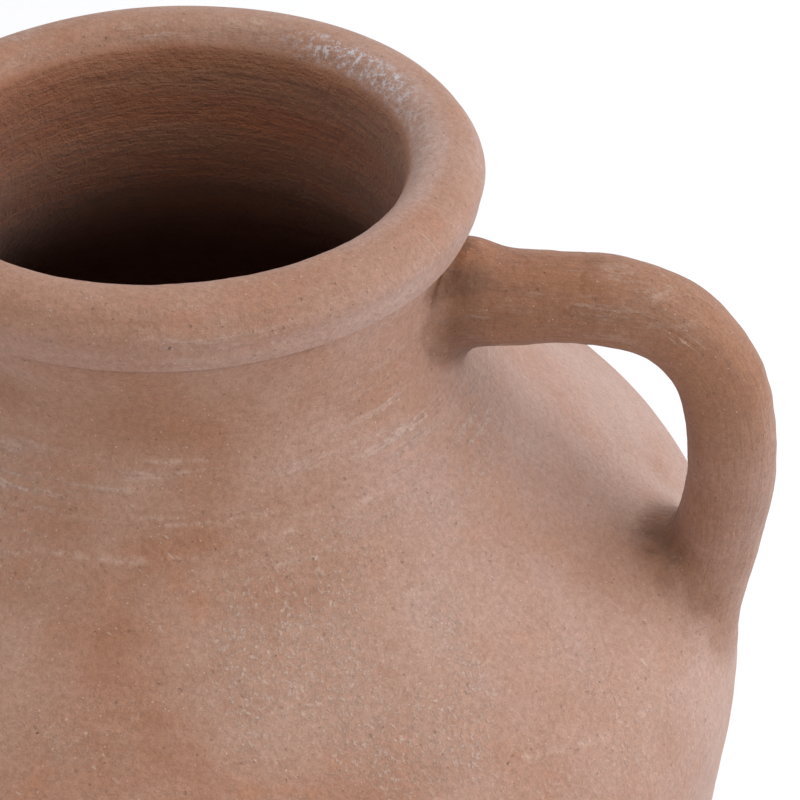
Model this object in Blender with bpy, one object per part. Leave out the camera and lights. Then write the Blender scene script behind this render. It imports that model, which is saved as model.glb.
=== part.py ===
"""Two-handled terracotta amphora, put together the way a potter builds one.

A lower section is thrown with its floor. An upper section of shoulder and neck
is scarfed onto it, a thick rolled collar makes the rim, and two round handles
run from the neck to the shoulder with their ends bedded in luting clay.

Units are metres and +Z is up. The origin is the centre of the flat base, and
the handles lie on the X axis.
"""

import math
from typing import NamedTuple

import bmesh
import bpy
from mathutils import Matrix, Vector
from mathutils.geometry import interpolate_bezier

# Driving dimensions
HEIGHT = 0.490
RIM_RADIUS = 0.100
RIM_WIDEST_HEIGHT = 0.480
RIM_EDGE_RADIUS = 0.0965
RIM_EDGE_HEIGHT = 0.467
LIP_CREST_RADIUS = 0.086
THROAT_RADIUS = 0.074
CREASE_RADIUS = 0.0925
CREASE_HEIGHT = 0.4645
NECK_RADIUS = 0.088
NECK_HEIGHT = 0.444
SHOULDER_RADIUS = 0.130
SHOULDER_HEIGHT = 0.382
BELLY_RADIUS = 0.196
BELLY_HEIGHT = 0.285
HEEL_RADIUS = 0.104
HEEL_HEIGHT = 0.006
BASE_RADIUS = 0.098

NECK_WALL = 0.014
SHOULDER_WALL = 0.0125
BELLY_WALL = 0.011
FLOOR_THICKNESS = 0.014
FLOOR_RADIUS = 0.078

SEAM_HEIGHT = 0.210
SCARF_RISE = 0.010
SEAT_RISE = 0.006

HANDLE_RADIUS = 0.015
HANDLE_TOP_HEIGHT = 0.4475
HANDLE_TOP_RADIUS = 0.135
HANDLE_REACH = 0.186
HANDLE_SIDE_HEIGHT = 0.388

UPPER_ROOT_HEIGHT = 0.4405
LOWER_ROOT_HEIGHT = 0.331
UPPER_LUTE_SIZE = (0.016, 0.025, 0.026)
LOWER_LUTE_SIZE = (0.014, 0.027, 0.034)

GAP = 0.0003

# Mesh resolution
TURN_SEGMENTS = 48
HANDLE_SIDES = 16
LUTE_SEGMENTS = 20
LUTE_RINGS = 12
SMOOTH_ANGLE = math.radians(40)


class Knot(NamedTuple):
    """One point of an outline in the (r, z) plane, and how the curve passes through it.

    heading is the direction of travel in degrees: 0 is outward, -90 is straight down.
    before and after are the lengths of the curve's two handles there.
    """

    r: float
    z: float
    heading: float
    before: float
    after: float

    def point(self):
        return Vector((self.r, self.z))

    def direction(self):
        angle = math.radians(self.heading)
        return Vector((math.cos(angle), math.sin(angle)))


def smooth_line(knots, steps):
    """Points along the curve through the knots; steps gives the spans between each pair."""
    line = [knots[0].point()]
    for start, end, count in zip(knots, knots[1:], steps):
        leaving = start.point() + start.direction() * start.after
        arriving = end.point() - end.direction() * end.before
        line += interpolate_bezier(start.point(), leaving, arriving, end.point(), count + 1)[1:]
    return line


def inward(knot, wall):
    """The knot moved to the inside of a wall of the given thickness."""
    ahead = knot.direction()
    moved = knot.point() - Vector((-ahead.y, ahead.x)) * wall
    return knot._replace(r=moved.x, z=moved.y)


def crossing(line, height):
    """The point where a falling line passes a height."""
    for above, below in zip(line, line[1:]):
        if above.y >= height > below.y:
            share = (above.y - height) / (above.y - below.y)
            return above.lerp(below, share)
    raise ValueError("the line does not pass this height")


def above(line, height):
    """The stretch of a falling line above a height, ending on it."""
    return [point for point in line if point.y > height] + [crossing(line, height)]


def below(line, height):
    """The stretch of a falling line below a height, starting on it."""
    return [crossing(line, height)] + [point for point in line if point.y < height]


def offset(line, distance):
    """A falling line moved outward, mitred at its corners."""
    moved = []
    for index, point in enumerate(line):
        before = (point - line[index - 1]) if index else (line[1] - point)
        after = (line[index + 1] - point) if index + 1 < len(line) else before
        normals = [Vector((-step.y, step.x)).normalized() for step in (before, after)]
        mitre = (normals[0] + normals[1]).normalized()
        moved.append(point + mitre * (distance / mitre.dot(normals[0])))
    return moved


# Outlines

CREASE = Knot(CREASE_RADIUS, CREASE_HEIGHT, -110, 0.0, 0.007)
NECK = Knot(NECK_RADIUS, NECK_HEIGHT, -90, 0.008, 0.024)
SHOULDER = Knot(SHOULDER_RADIUS, SHOULDER_HEIGHT, -43.5, 0.025, 0.066)
BELLY = Knot(BELLY_RADIUS, BELLY_HEIGHT, -90, 0.030, 0.110)
HEEL = Knot(HEEL_RADIUS, HEEL_HEIGHT, -125, 0.079, 0.003)
BASE_EDGE = Knot(BASE_RADIUS, 0.0, -180, 0.003, 0.0)

INNER_FLOOR_EDGE = Knot(FLOOR_RADIUS, FLOOR_THICKNESS + 0.002, -175, 0.045, 0.030)
INNER_FLOOR_CENTRE = Knot(0.0, FLOOR_THICKNESS, -180, 0.030, 0.0)


def outer_wall():
    """The outside, from the crease under the rim down to the edge of the base."""
    return smooth_line([CREASE, NECK, SHOULDER, BELLY, HEEL, BASE_EDGE], [3, 5, 7, 9, 3])


def inner_wall():
    """The inside, from the foot of the throat down to the middle of the floor."""
    throat = Knot(THROAT_RADIUS, CREASE_HEIGHT + SEAT_RISE, -90, 0.0, 0.009)
    knots = [
        throat,
        inward(NECK, NECK_WALL),
        inward(SHOULDER, SHOULDER_WALL),
        inward(BELLY, BELLY_WALL),
        INNER_FLOOR_EDGE,
        INNER_FLOOR_CENTRE,
    ]
    return smooth_line(knots, [2, 5, 6, 9, 2])


def rim_outside():
    """The lip's crest, the bulging outer band and the turn back under it to the crease."""
    crest = Knot(LIP_CREST_RADIUS, HEIGHT, 0, 0.007, 0.008)
    widest = Knot(RIM_RADIUS, RIM_WIDEST_HEIGHT, -90, 0.0065, 0.005)
    edge = Knot(RIM_EDGE_RADIUS, RIM_EDGE_HEIGHT, -135, 0.0035, 0.0015)
    crease = Knot(CREASE_RADIUS, CREASE_HEIGHT + GAP, -155, 0.0015, 0.0)
    return smooth_line([crest, widest, edge, crease], [5, 3, 2])


def rim_inside():
    """The throat face of the collar, from its seat up to the lip's crest."""
    seat = Knot(THROAT_RADIUS, CREASE_HEIGHT + SEAT_RISE + GAP, 90, 0.0, 0.010)
    crest = Knot(LIP_CREST_RADIUS, HEIGHT, 0, 0.007, 0.0)
    return smooth_line([seat, crest], [5])


def handle_line():
    """The handle's centreline: out from the neck, round the grip and down into the shoulder."""
    knots = [
        Knot(NECK_RADIUS - 0.004, UPPER_ROOT_HEIGHT - 0.002, 14, 0.0, 0.016),
        Knot(HANDLE_TOP_RADIUS, HANDLE_TOP_HEIGHT, 0, 0.017, 0.030),
        Knot(HANDLE_REACH, HANDLE_SIDE_HEIGHT, -90, 0.042, 0.028),
        Knot(HANDLE_REACH - 0.017, HANDLE_SIDE_HEIGHT - 0.088, -113, 0.030, 0.0),
    ]
    return smooth_line(knots, [5, 10, 9])


# Mesh making

def clay(name, colour, roughness):
    """A plain fired-clay material."""
    material = bpy.data.materials.new(name)
    material.use_nodes = True
    shader = material.node_tree.nodes["Principled BSDF"]
    shader.inputs["Base Color"].default_value = (*colour, 1.0)
    shader.inputs["Roughness"].default_value = roughness
    shader.inputs["Metallic"].default_value = 0.0
    return material


def add_object(name, shape, material=None):
    """Turn a bmesh into a named, smooth-shaded object with its faces pointing out."""
    bmesh.ops.recalc_face_normals(shape, faces=shape.faces)
    mesh = bpy.data.meshes.new(name)
    shape.to_mesh(mesh)
    shape.free()
    mesh.shade_smooth()
    mesh.set_sharp_from_angle(angle=SMOOTH_ANGLE)
    if material:
        mesh.materials.append(material)
    thing = bpy.data.objects.new(name, mesh)
    bpy.context.scene.collection.objects.link(thing)
    return thing


def turned(outline):
    """Revolve a closed outline about Z. Its points on the axis become single vertices."""
    shape = bmesh.new()
    columns = []
    for point in outline:
        if point.x < 1e-6:
            columns.append([shape.verts.new((0.0, 0.0, point.y))] * TURN_SEGMENTS)
            continue
        angles = [math.tau * step / TURN_SEGMENTS for step in range(TURN_SEGMENTS)]
        ring = [(point.x * math.cos(turn), point.x * math.sin(turn), point.y) for turn in angles]
        columns.append([shape.verts.new(place) for place in ring])
    for first, second in zip(columns, columns[1:] + columns[:1]):
        for step in range(TURN_SEGMENTS):
            after = (step + 1) % TURN_SEGMENTS
            corners = [first[step], first[after], second[after], second[step]]
            distinct = list(dict.fromkeys(corners))
            if len(distinct) > 2:
                shape.faces.new(distinct)
    return shape


def tube(line, radius):
    """A round bar along a line in the XZ plane, closed at both ends."""
    shape = bmesh.new()
    rings = []
    for index, point in enumerate(line):
        before = line[max(index - 1, 0)]
        after = line[min(index + 1, len(line) - 1)]
        ahead = (after - before).normalized()
        side = Vector((-ahead.y, ahead.x))
        ring = []
        for step in range(HANDLE_SIDES):
            turn = math.tau * step / HANDLE_SIDES
            across = point + side * (radius * math.cos(turn))
            ring.append(shape.verts.new((across.x, radius * math.sin(turn), across.y)))
        rings.append(ring)
    for first, second in zip(rings, rings[1:]):
        for step in range(HANDLE_SIDES):
            after = (step + 1) % HANDLE_SIDES
            shape.faces.new([first[step], first[after], second[after], second[step]])
    shape.faces.new(rings[0])
    shape.faces.new(rings[-1])
    return shape


def wad(height, size):
    """A flattened ball of clay pressed on the wall at a height.

    size is its half-thickness off the wall, its half-width round the pot and its
    half-length up the wall.
    """
    wall = outer_wall()
    centre = crossing(wall, height)
    step = crossing(wall, height - 0.004) - crossing(wall, height + 0.004)
    lean = math.atan2(step.x, -step.y)
    place = Matrix.Translation((centre.x, 0.0, centre.y))
    pose = place @ Matrix.Rotation(-lean, 4, "Y") @ Matrix.Diagonal((*size, 1.0))
    shape = bmesh.new()
    bmesh.ops.create_uvsphere(
        shape, u_segments=LUTE_SEGMENTS, v_segments=LUTE_RINGS, radius=1.0, matrix=pose
    )
    return shape


def on_side(shape, side):
    """Turn a shape made on +X to the handle's own side, 1 for right and -1 for left."""
    if side < 0:
        bmesh.ops.rotate(shape, verts=shape.verts, matrix=Matrix.Rotation(math.pi, 3, "Z"))
    return shape


def as_cutter(thing):
    """Mark an object as a cutting tool and no part of the amphora."""
    thing.hide_render = True
    thing.display_type = "WIRE"
    return thing


def cut(thing, cutter):
    """Take the cutter's volume away from an object."""
    boolean = thing.modifiers.new(f"clear_{cutter.name}", "BOOLEAN")
    boolean.operation = "DIFFERENCE"
    boolean.solver = "EXACT"
    boolean.object = cutter


# Parts

def make_lower_body():
    """The belly and taper with the flat floor, up to the scarf seam."""
    outside = below(outer_wall(), SEAM_HEIGHT - SCARF_RISE / 2 - GAP)
    inside = below(inner_wall(), SEAM_HEIGHT + SCARF_RISE / 2 - GAP)
    outline = outside + [Vector((0.0, 0.0))] + inside[::-1]
    return add_object("lower_body", turned(outline), clay("lower_body", (0.36, 0.22, 0.155), 0.85))


def make_upper_body():
    """The shoulder and neck, from the scarf seam to the seat of the rim."""
    outside = above(outer_wall(), SEAM_HEIGHT - SCARF_RISE / 2)
    inside = above(inner_wall(), SEAM_HEIGHT + SCARF_RISE / 2)
    return add_object("upper_body", turned(outside + inside[::-1]), clay("upper_body", (0.38, 0.23, 0.165), 0.85))


def make_rim():
    """The thick rolled collar that sits on the neck."""
    outline = rim_inside() + rim_outside()[1:]
    return add_object("rim", turned(outline), clay("rim", (0.35, 0.21, 0.15), 0.8))


def make_wall_cutter():
    """Everything inside the pot's outer skin, grown by the gap that touching pieces keep."""
    skin = offset(rim_outside() + above(outer_wall(), SEAM_HEIGHT)[1:], GAP)
    outline = [Vector((0.0, skin[0].y))] + skin + [Vector((0.0, skin[-1].y))]
    return as_cutter(add_object("wall_cutter", turned(outline)))


def make_handle(word, side, wall_cutter):
    """One round handle with its ends shaped to the neck and the shoulder."""
    shape = on_side(tube(handle_line(), HANDLE_RADIUS), side)
    handle = add_object(f"handle_{word}", shape, clay(f"handle_{word}", (0.37, 0.235, 0.17), 0.85))
    cut(handle, wall_cutter)


def make_lutes(word, side, wall_cutter):
    """The wads of clay round both ends of one handle."""
    core = on_side(tube(handle_line(), HANDLE_RADIUS + GAP), side)
    handle_cutter = as_cutter(add_object(f"handle_cutter_{word}", core))
    wads = (("upper", UPPER_ROOT_HEIGHT, UPPER_LUTE_SIZE), ("lower", LOWER_ROOT_HEIGHT, LOWER_LUTE_SIZE))
    for place, height, size in wads:
        name = f"{place}_lute_{word}"
        lute = add_object(name, on_side(wad(height, size), side), clay(name, (0.33, 0.195, 0.135), 0.88))
        cut(lute, wall_cutter)
        cut(lute, handle_cutter)


def main():
    for thing in list(bpy.data.objects):
        bpy.data.objects.remove(thing)
    make_lower_body()
    make_upper_body()
    make_rim()
    wall_cutter = make_wall_cutter()
    for word, side in (("right", 1), ("left", -1)):
        make_handle(word, side, wall_cutter)
        make_lutes(word, side, wall_cutter)


main()
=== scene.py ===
"""Looks of the hand-built terracotta amphora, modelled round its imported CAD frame.

Every visible piece is rebuilt here as a dense mesh of fired clay. The turned
pieces take their outlines from the CAD nodes, the handles are pulled bars, and
each handle end is smeared onto the wall with a wad of luting clay. All of them
share one set of distance fields, so the clay runs smoothly from piece to piece.
Units are metres, +Z is up and the origin is the centre of the base.
"""

import math
from itertools import product

import bpy
import numpy as np
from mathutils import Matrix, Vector
from mathutils.geometry import interpolate_bezier


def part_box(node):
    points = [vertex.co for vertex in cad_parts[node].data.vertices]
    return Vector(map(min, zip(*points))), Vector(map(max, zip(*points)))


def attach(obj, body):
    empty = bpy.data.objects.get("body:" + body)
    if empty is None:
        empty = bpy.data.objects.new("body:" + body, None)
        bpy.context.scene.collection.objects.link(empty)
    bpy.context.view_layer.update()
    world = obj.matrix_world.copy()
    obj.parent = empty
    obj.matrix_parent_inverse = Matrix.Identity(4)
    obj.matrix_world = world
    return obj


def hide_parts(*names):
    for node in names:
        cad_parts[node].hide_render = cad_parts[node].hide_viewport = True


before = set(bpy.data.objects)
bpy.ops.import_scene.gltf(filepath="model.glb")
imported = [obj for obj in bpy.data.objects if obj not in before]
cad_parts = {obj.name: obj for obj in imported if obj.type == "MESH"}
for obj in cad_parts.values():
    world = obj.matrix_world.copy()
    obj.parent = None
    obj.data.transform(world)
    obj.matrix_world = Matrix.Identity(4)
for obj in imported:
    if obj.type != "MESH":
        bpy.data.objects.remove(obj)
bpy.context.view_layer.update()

# Driving sizes, read from the frame

RIM_LOW, RIM_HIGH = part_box("rim")
HANDLE_LOW, HANDLE_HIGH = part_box("handle_right")

RIM_RADIUS = RIM_HIGH.x
RIM_TOP = RIM_HIGH.z
RIM_WIDEST = RIM_TOP - 0.010
CREASE = RIM_LOW.z
HANDLE_RADIUS = (HANDLE_HIGH.y - HANDLE_LOW.y) / 2
HANDLE_REACH = HANDLE_HIGH.x - HANDLE_RADIUS
HANDLE_TOP = HANDLE_HIGH.z - HANDLE_RADIUS

MM = 0.001


# Noise

def hashed(cells, seed):
    """A repeatable scrambled 32-bit number for each cell of a lattice."""
    key = cells.astype(np.int64) & 0xFFFFFFFF
    mixed = key[..., 0] * 0x9E3779B1 ^ key[..., 1] * 0x85EBCA77 ^ key[..., 2] * 0xC2B2AE3D
    mixed = (mixed + seed * 0x27D4EB2F) & 0xFFFFFFFF
    for shift, factor in ((15, 0x2C1B3C6D), (12, 0x297A2D39), (15, 1)):
        mixed = ((mixed ^ (mixed >> shift)) * factor) & 0xFFFFFFFF
    return mixed


def noise(points, size, seed=0):
    """Smooth noise of about -1 to 1 whose bumps are about size metres apart."""
    scaled = np.asarray(points, float) / size
    base = np.floor(scaled)
    inside = scaled - base
    fade = inside**3 * (inside * (inside * 6 - 15) + 10)
    total = np.zeros(len(scaled))
    for corner in product((0, 1), repeat=3):
        step = np.array(corner, float)
        mixed = hashed(base + step, seed)
        pull = np.stack([(mixed >> shift) & 1023 for shift in (0, 10, 20)], axis=-1) / 511.5 - 1
        share = np.prod(np.where(step == 1, fade, 1 - fade), axis=-1)
        total += share * np.einsum("ij,ij->i", pull, inside - step)
    return total * 1.5


def stretched(points, flat):
    """Points squeezed so that noise on them runs in long streaks round the pot."""
    return np.column_stack([points[:, 0] * flat, points[:, 1] * flat, points[:, 2]])


# Fields

def smooth_least(a, b, reach):
    """The lesser of two distances, rounded over where they are within reach of each other."""
    mix = np.clip(0.5 + 0.5 * (b - a) / reach, 0, 1)
    return b * (1 - mix) + a * mix - reach * mix * (1 - mix)


def ramp(values, low, high):
    """0 at and below low, 1 at and above high, smooth between."""
    share = np.clip((values - low) / (high - low), 0, 1)
    return share * share * (3 - 2 * share)


def outline_of(node):
    """The CAD node's outline in the XZ half-plane, in order, starting at its highest point."""
    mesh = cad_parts[node].data
    places = np.array([vert.co for vert in mesh.vertices])
    keys = [tuple(np.round(place, 5)) for place in places]
    on_plane = {key for key in keys if abs(key[1]) < 1e-5 and key[0] > -1e-5}
    links = {key: set() for key in on_plane}
    for edge in mesh.edges:
        first, second = (keys[index] for index in edge.vertices)
        if first != second and first in on_plane and second in on_plane:
            links[first].add(second)
            links[second].add(first)
    ends = [key for key, near in links.items() if len(near) == 1]
    start = max(ends or links, key=lambda key: (key[2], key[0]))
    chain = [start]
    while True:
        onward = [key for key in sorted(links[chain[-1]], reverse=True) if key not in chain]
        if not onward:
            break
        chain.append(onward[0])
    points = np.array([(key[0], key[2]) for key in chain])
    return points, not ends


def through(points, spacing):
    """A smooth curve through the points, sampled about every spacing metres."""
    steps = np.linalg.norm(np.diff(points, axis=0), axis=1)
    along = np.concatenate([[0.0], np.cumsum(steps)])
    places = np.linspace(0, along[-1], max(2, round(along[-1] / spacing) + 1))
    if len(points) == 2:
        share = (places / along[-1])[:, None]
        return points[0] * (1 - share) + points[1] * share
    slopes = np.gradient(points, along, axis=0)
    index = np.clip(np.searchsorted(along, places, side="right") - 1, 0, len(steps) - 1)
    span = steps[index][:, None]
    share = (places - along[index])[:, None] / span
    start, end = points[index], points[index + 1]
    leave, arrive = slopes[index] * span, slopes[index + 1] * span
    return (
        start * (1 + 2 * share) * (1 - share) ** 2
        + leave * share * (1 - share) ** 2
        + end * share**2 * (3 - 2 * share)
        + arrive * share**2 * (share - 1)
    )


def corners_of(points, closed):
    """Indices where an outline turns by more than 35 degrees, and an open outline's two ends."""
    before = points - np.roll(points, 1, axis=0)
    after = np.roll(points, -1, axis=0) - points
    cosine = np.einsum("ij,ij->i", before, after)
    cosine /= np.linalg.norm(before, axis=1) * np.linalg.norm(after, axis=1)
    turning = set(np.flatnonzero(cosine < math.cos(math.radians(35))))
    return sorted(turning if closed else turning | {0, len(points) - 1})


def stretches(points, closed):
    """The outline cut at its corners into smooth runs, each as an array of points."""
    marks = corners_of(points, closed)
    if closed:
        points = np.roll(points, -marks[0], axis=0)
        marks = [mark - marks[0] for mark in marks] + [len(points)]
        points = np.vstack([points, points[:1]])
    return [points[first : last + 1] for first, last in zip(marks, marks[1:])]


def long_runs(node):
    """The node's smooth runs of more than two points, the outer face first."""
    runs = [run for run in stretches(*outline_of(node)) if len(run) > 2]
    return sorted(runs, key=lambda run: -run[:, 0].max())


LIP_RUN = long_runs("rim")[0]
UPPER_OUTSIDE, UPPER_INSIDE = long_runs("upper_body")
LOWER_OUTSIDE, LOWER_INSIDE = long_runs("lower_body")
THROAT_RADIUS = LIP_RUN[:, 0].min()
NECK_RADIUS, NECK_HEIGHT = UPPER_OUTSIDE[np.argmin(UPPER_OUTSIDE[:, 0])]
CREST_RADIUS = LIP_RUN[np.argmax(LIP_RUN[:, 1]), 0]
BAND_LIFT = 2.2 * MM


def lift_band():
    """Draw the rim's band and the neck's top up a little, so that the crease sits higher."""
    band = (LIP_RUN[:, 0] > CREST_RADIUS) & (LIP_RUN[:, 1] < RIM_WIDEST)
    LIP_RUN[band, 1] += BAND_LIFT * (RIM_WIDEST - LIP_RUN[band, 1]) / (RIM_WIDEST - CREASE)
    neck = UPPER_OUTSIDE[:, 1] > NECK_HEIGHT
    raised = (UPPER_OUTSIDE[neck, 1] - NECK_HEIGHT) / (CREASE - NECK_HEIGHT)
    UPPER_OUTSIDE[neck, 1] += BAND_LIFT * raised


lift_band()
CREASE_RADIUS, CREASE_HEIGHT = UPPER_OUTSIDE[0]


class FlatGrid:
    """A function of two coordinates, sampled on a square grid and read back between its points."""

    def __init__(self, low, high, step, function):
        self.low, self.step = np.array(low), step
        self.count = np.round((np.array(high) - self.low) / step).astype(int) + 1
        across = self.low[0] + step * np.arange(self.count[0])
        up = self.low[1] + step * np.arange(self.count[1])
        places = np.stack(np.meshgrid(across, up, indexing="ij"), axis=-1)
        self.values = np.stack([function(column) for column in places])

    def read(self, first, second):
        scaled = (np.column_stack([first, second]) - self.low) / self.step
        scaled = np.clip(scaled, 0, self.count - 1.001)
        base = scaled.astype(int)
        across, up = (scaled - base).T
        column, row = base.T
        table, right, above = self.values, column + 1, row + 1
        low = table[column, row] * (1 - across) + table[right, row] * across
        high = table[column, above] * (1 - across) + table[right, above] * across
        return low * (1 - up) + high * up


def line_gap(places, line):
    """Distance from each place to a line of points, in the plane."""
    start, edge = line[:-1], np.diff(line, axis=0)
    length = np.maximum((edge**2).sum(axis=1), 1e-12)
    gap = places[:, None] - start
    share = np.clip((gap * edge).sum(axis=2) / length, 0, 1)
    return np.sqrt(((gap - share[..., None] * edge) ** 2).sum(axis=2).min(axis=1))


def skin_gap(places):
    """Signed distance to the pot's outer outline, negative towards the axis."""
    level = (SKIN[:-1, 1] > places[:, 1:]) != (SKIN[1:, 1] > places[:, 1:])
    rise = np.diff(SKIN[:, 1])
    rise = np.where(rise == 0, 1, rise)
    meets = SKIN[:-1, 0] + (places[:, 1:] - SKIN[:-1, 1]) / rise * np.diff(SKIN[:, 0])
    inside = (level & (meets > places[:, :1])).sum(axis=1) % 2 == 1
    gap = line_gap(places, SKIN)
    return np.where(inside, -gap, gap)


# The neck's skin runs on upward inside the rim, which stays whole where a handle meets it.
SKIN = np.vstack([[CREASE_RADIUS, RIM_TOP + 0.03], through(UPPER_OUTSIDE, 1.5 * MM)])
GRID_STEP = 0.75 * MM
SKIN_GRID = FlatGrid((0.055, 0.250), (0.242, 0.505), GRID_STEP, skin_gap)


def skin_distance(points):
    """Distance from the smooth outer skin of the neck and shoulder."""
    return SKIN_GRID.read(np.hypot(points[:, 0], points[:, 1]), points[:, 2])


def wobble(points):
    """How far the hand-turned wall stands proud of its CAD outline, in metres."""
    height = points[:, 2]
    slow = 0.9 * MM * noise(points, 0.13, 1)
    dents = 0.50 * MM * noise(points, 0.045, 2)
    rings = 0.40 * MM * noise(stretched(points, 0.12), 0.012, 3)
    ribs = 0.13 * MM * noise(stretched(points, 0.18), 0.0045, 4)
    steady = 1 - 0.7 * ramp(height, CREASE - 0.015, CREASE + 0.005)
    full_shoulder = 2.9 * MM * np.exp(-(((height - 0.337) / 0.027) ** 2))
    full_shoulder -= 0.8 * MM * np.exp(-(((height - 0.392) / 0.014) ** 2))
    slack_belly = -2.2 * MM * np.exp(-(((height - 0.258) / 0.033) ** 2))
    return (slow + dents + rings) * steady + ribs + full_shoulder + slack_belly


def inner_relief(points):
    """Finger rings and dents on the inside."""
    rings = 0.55 * MM * noise(stretched(points, 0.1), 0.011, 31)
    dents = 0.25 * MM * noise(points, 0.012, 33) + 0.5 * MM * noise(points, 0.05, 32)
    return rings + dents + 0.15 * MM * noise(points, 0.004, 34)


# Handles. Their clay is worked out on the +X side; side is -1 for the one turned half round.

ROOT_ZONE = 30 * MM
TUCK = 0.5 * MM


def pulled_line():
    """The handle's centreline in the XZ plane, from inside the neck to inside the shoulder."""
    neck, reach, top = NECK_RADIUS, HANDLE_REACH, HANDLE_TOP
    start = (neck - 0.004, top - 0.009)
    level = (neck + 0.047, top)
    side = (reach, top - 0.0595)
    end = (reach - 0.0190, side[1] - 0.0835)
    bows = (
        (start, (neck + 0.0115, top - 0.005), (neck + 0.030, top), level),
        (level, (neck + 0.080, top + 0.0042), (reach, side[1] + 0.0425), side),
        (side, (reach, side[1] - 0.028), (end[0] + 0.0135, end[1] + 0.026), end),
    )
    line = [Vector(bows[0][0])]
    for bow in bows:
        line += interpolate_bezier(*(Vector(point) for point in bow), 60)[1:]
    return through(np.array([tuple(point) for point in line]), 0.6 * MM)


LINE = pulled_line()
LINE_3D = np.column_stack([LINE[:, 0], np.zeros(len(LINE)), LINE[:, 1]])
COARSE_LINE = LINE[::4]


def bar_line_gap(places):
    return line_gap(places, COARSE_LINE)


LINE_GRID = FlatGrid((0.060, 0.270), (0.230, 0.500), GRID_STEP, bar_line_gap)
FLARE_AT = np.array([RIM_RADIUS - 0.0040, 0.0, CREASE - 0.0138])
FLARE_SIZE = np.array([0.0135, 0.0140, 0.0122])


def turned_half(points, side):
    """Points carried between the +X side and the handle's own side."""
    return points * np.array([side, side, 1.0])


def bar_wobble(points, side):
    """Unevenness of a bar pulled by hand: slow thick and thin, finger flats and fine dents."""
    world = turned_half(points, side)
    slow = 1.0 * MM * noise(world, 0.050, 21) + 0.8 * MM * noise(world, 0.022, 22)
    bend = ((points[:, 0] - 0.170) / 0.032) ** 2 + ((points[:, 2] - 0.433) / 0.032) ** 2
    slow -= 1.3 * MM * np.exp(-bend)
    return slow + 0.25 * MM * noise(world, 0.008, 23) + 0.10 * MM * noise(world, 0.003, 24)


def flare_field(points):
    """Distance to the pad of clay pressed between the handle's top and the rim."""
    scaled = (points - FLARE_AT) / FLARE_SIZE
    far = np.linalg.norm(scaled, axis=1)
    slope = np.linalg.norm(scaled / FLARE_SIZE, axis=1)
    return far * (far - 1) / np.maximum(slope, 1e-9)


def near_handle(points):
    """Which points lie where a handle could touch the wall."""
    return (points[:, 0] > 0.07) & (np.abs(points[:, 1]) < 0.06) & (points[:, 2] > 0.27)


def low_share(points):
    """1 at the handle's lower root, 0 above it."""
    return 1 - ramp(points[:, 2], 0.372, 0.402)


def inner_share(points):
    """1 on the side of the lower root that faces the neck, 0 elsewhere."""
    return low_share(points) * ramp(-points[:, 0], -0.184, -0.168)


def reach_at(points):
    """Size of the fillet: wide at the shoulder, next to nothing under the rim."""
    web = (1 - ramp(points[:, 2], 0.346, 0.364)) * (1 - ramp(points[:, 0], 0.164, 0.182))
    high = ramp(points[:, 2], CREASE - 20 * MM, CREASE)
    return (16 + 5 * low_share(points) + 12 * web - 12 * high) * MM


def wall_field(points, side):
    return skin_distance(points) - wobble(turned_half(points, side))


def bar_field(points, side):
    line = np.hypot(LINE_GRID.read(points[:, 0], points[:, 2]), points[:, 1])
    bare = line - HANDLE_RADIUS - bar_wobble(points, side)
    return smooth_least(bare, flare_field(points), 8 * MM)


def merged(points, side, wall_down=0.0, bar_down=0.0):
    """The surface of wall and handle run together, with either sunk a little under the other."""
    wall = wall_field(points, side) + wall_down
    bar = bar_field(points, side) + bar_down
    return smooth_least(wall, bar, reach_at(points))


def along_bar(points):
    """Places along, across and out from the handle's centreline, which its grain follows."""
    ahead = np.gradient(COARSE_LINE, axis=0)
    ahead /= np.linalg.norm(ahead, axis=1)[:, None]
    flat = points[:, [0, 2]]
    nearest = np.argmin(((flat[:, None] - COARSE_LINE) ** 2).sum(axis=2), axis=1)
    gap, ahead = flat - COARSE_LINE[nearest], ahead[nearest]
    step = np.linalg.norm(COARSE_LINE[1] - COARSE_LINE[0])
    length = nearest * step + (gap * ahead).sum(axis=1)
    return length, points[:, 1], gap[:, 1] * ahead[:, 0] - gap[:, 0] * ahead[:, 1]


def walk_out(points, normals, field, most, rounds=6):
    """How far each point moves along its normal to reach the field's surface, up to most."""
    travel = np.zeros(len(points))
    for _ in range(rounds):
        travel -= field(points + normals * travel[:, None])
        travel = np.clip(travel, -most / 4, most)
    return travel


def gradient(points, field):
    """Unit direction in which the field grows."""
    moves = np.eye(3) * 0.3 * MM
    slope = np.column_stack([field(points + move) - field(points - move) for move in moves])
    return slope / np.maximum(np.linalg.norm(slope, axis=1), 1e-12)[:, None]


def settle(points, field, rounds=3):
    """Points pulled straight onto the field's surface."""
    for _ in range(rounds):
        points = points - gradient(points, field) * field(points)[:, None]
    return points


# Marks by place. An angle is in degrees round +Z from +X, a height is in millimetres.

def angle_gap(points, angle):
    """Degrees from an angle round the pot, signed."""
    turned = np.degrees(np.arctan2(points[:, 1], points[:, 0])) - angle
    return (turned + 180) % 360 - 180


def patch(points, angle, height, wide, tall, strength):
    """A soft patch on the wall: wide is in degrees, height and tall in millimetres."""
    across = angle_gap(points, angle) / wide
    up = (points[:, 2] / MM - height) / tall
    return strength * np.exp(-(across**2) - up**2)


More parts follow.
